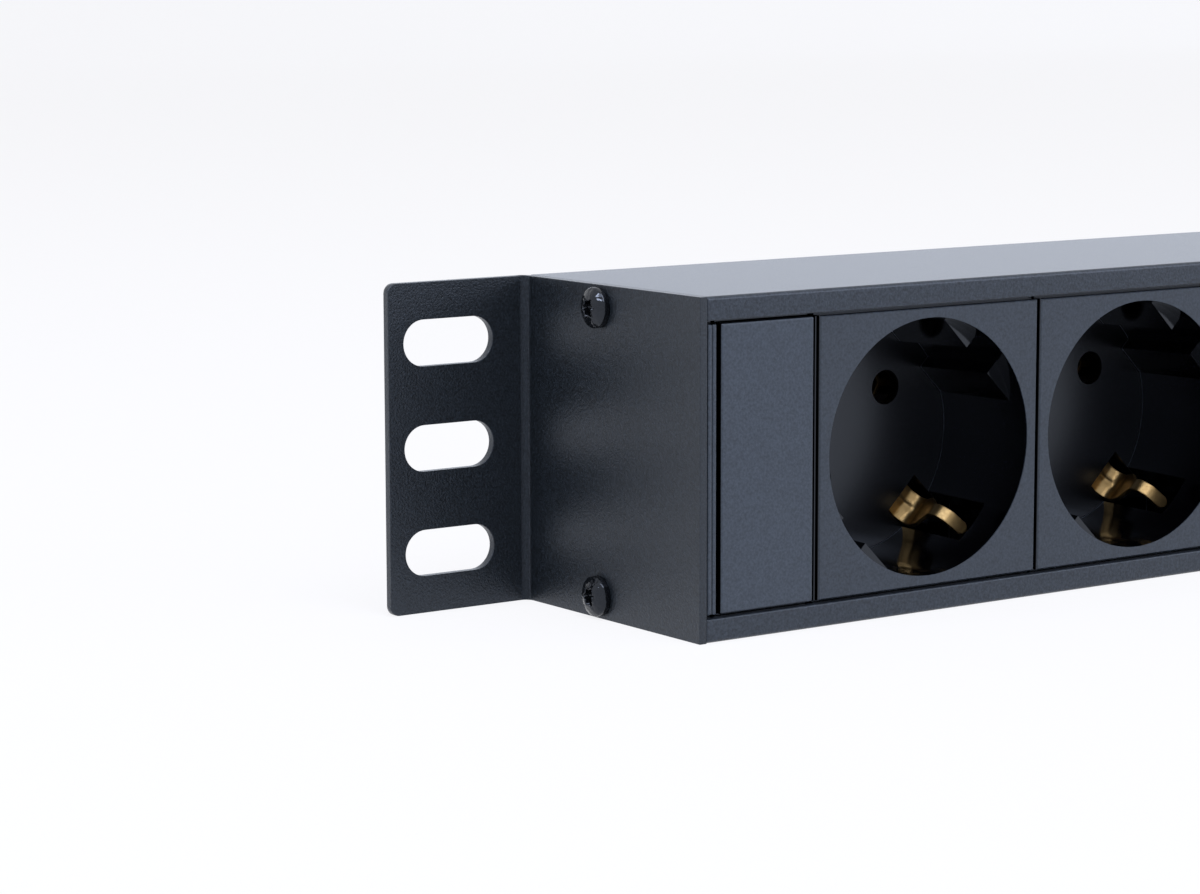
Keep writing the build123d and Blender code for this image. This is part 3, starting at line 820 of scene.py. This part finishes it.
# Rocker: clear red polycarbonate, moulded and polished, on two small pivot pins. The ON and OFF
# marks are printed in white, a bar on the upper half and a ring on the lower one.
mark_rise = 6.4
mark_bar = (0.45, 2.3)
mark_ring = 1.9
mark_line = 0.4
mark_white = "#eeeeec"
rocker_edge = 0.3
low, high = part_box("switch_rocker")
rocker_x = (low.x + high.x) / 2
rocker_z = (low.z + high.z) / 2
rocker_back = (low.y + high.y) / 2
red_plastic = grained(
    "polished_red_polycarbonate", "#a51712", "#ae1a14", grain=1.5, depth=0.006, seed=37.0,
    sockets={"Roughness": 0.16, "IOR": 1.58},
)
tree = red_plastic.node_tree
surface = shader_of(red_plastic)
ground = surface.inputs["Base Color"].links[0].from_socket
place = add(tree, "ShaderNodeTexCoord")
spot = add(tree, "ShaderNodeSeparateXYZ", links={0: place.outputs["Object"]})
aside = add(tree, "ShaderNodeMath", {"operation": "SUBTRACT"}, {0: spot.outputs["X"], 1: rocker_x})
bar_rise = add(tree, "ShaderNodeMath", {"operation": "SUBTRACT"}, {
    0: spot.outputs["Z"], 1: rocker_z + mark_rise * MM,
})
ring_rise = add(tree, "ShaderNodeMath", {"operation": "SUBTRACT"}, {
    0: spot.outputs["Z"], 1: rocker_z - mark_rise * MM,
})
bar_wide = add(tree, "ShaderNodeMath", {"operation": "COMPARE"}, {
    0: aside.outputs[0], 1: 0.0, 2: mark_bar[0] * MM,
})
bar_high = add(tree, "ShaderNodeMath", {"operation": "COMPARE"}, {
    0: bar_rise.outputs[0], 1: 0.0, 2: mark_bar[1] * MM,
})
bar = add(tree, "ShaderNodeMath", {"operation": "MULTIPLY"}, {
    0: bar_wide.outputs[0], 1: bar_high.outputs[0],
})
from_ring = add(tree, "ShaderNodeCombineXYZ", links={0: aside.outputs[0], 2: ring_rise.outputs[0]})
reach = add(tree, "ShaderNodeVectorMath", {"operation": "LENGTH"}, {0: from_ring.outputs[0]})
ring = add(tree, "ShaderNodeMath", {"operation": "COMPARE"}, {
    0: reach.outputs["Value"], 1: mark_ring * MM, 2: mark_line * MM,
})
marks = add(tree, "ShaderNodeMath", {"operation": "MAXIMUM"}, {
    0: bar.outputs[0], 1: ring.outputs[0],
})
in_front = add(tree, "ShaderNodeMath", {"operation": "LESS_THAN"}, {
    0: spot.outputs["Y"], 1: rocker_back,
})
printed = add(tree, "ShaderNodeMath", {"operation": "MULTIPLY"}, {
    0: marks.outputs[0], 1: in_front.outputs[0],
})
face = add(tree, "ShaderNodeMix", {"data_type": "RGBA"}, {"Factor": printed.outputs[0], 6: ground})
face.inputs[7].default_value = linear(mark_white)
tree.links.new(face.outputs[2], surface.inputs["Base Color"])
soft_edges("switch_rocker", rocker_edge, red_plastic)


# Appliance inlet: satin black polyamide, snapped into the right end plate, with three nickel
# plated brass blades that stand in its well.
inlet_edge = 0.25
soft_edges("inlet_body", inlet_edge, satin_black)
soft_edges("inlet_pins", inlet_edge, nickel)
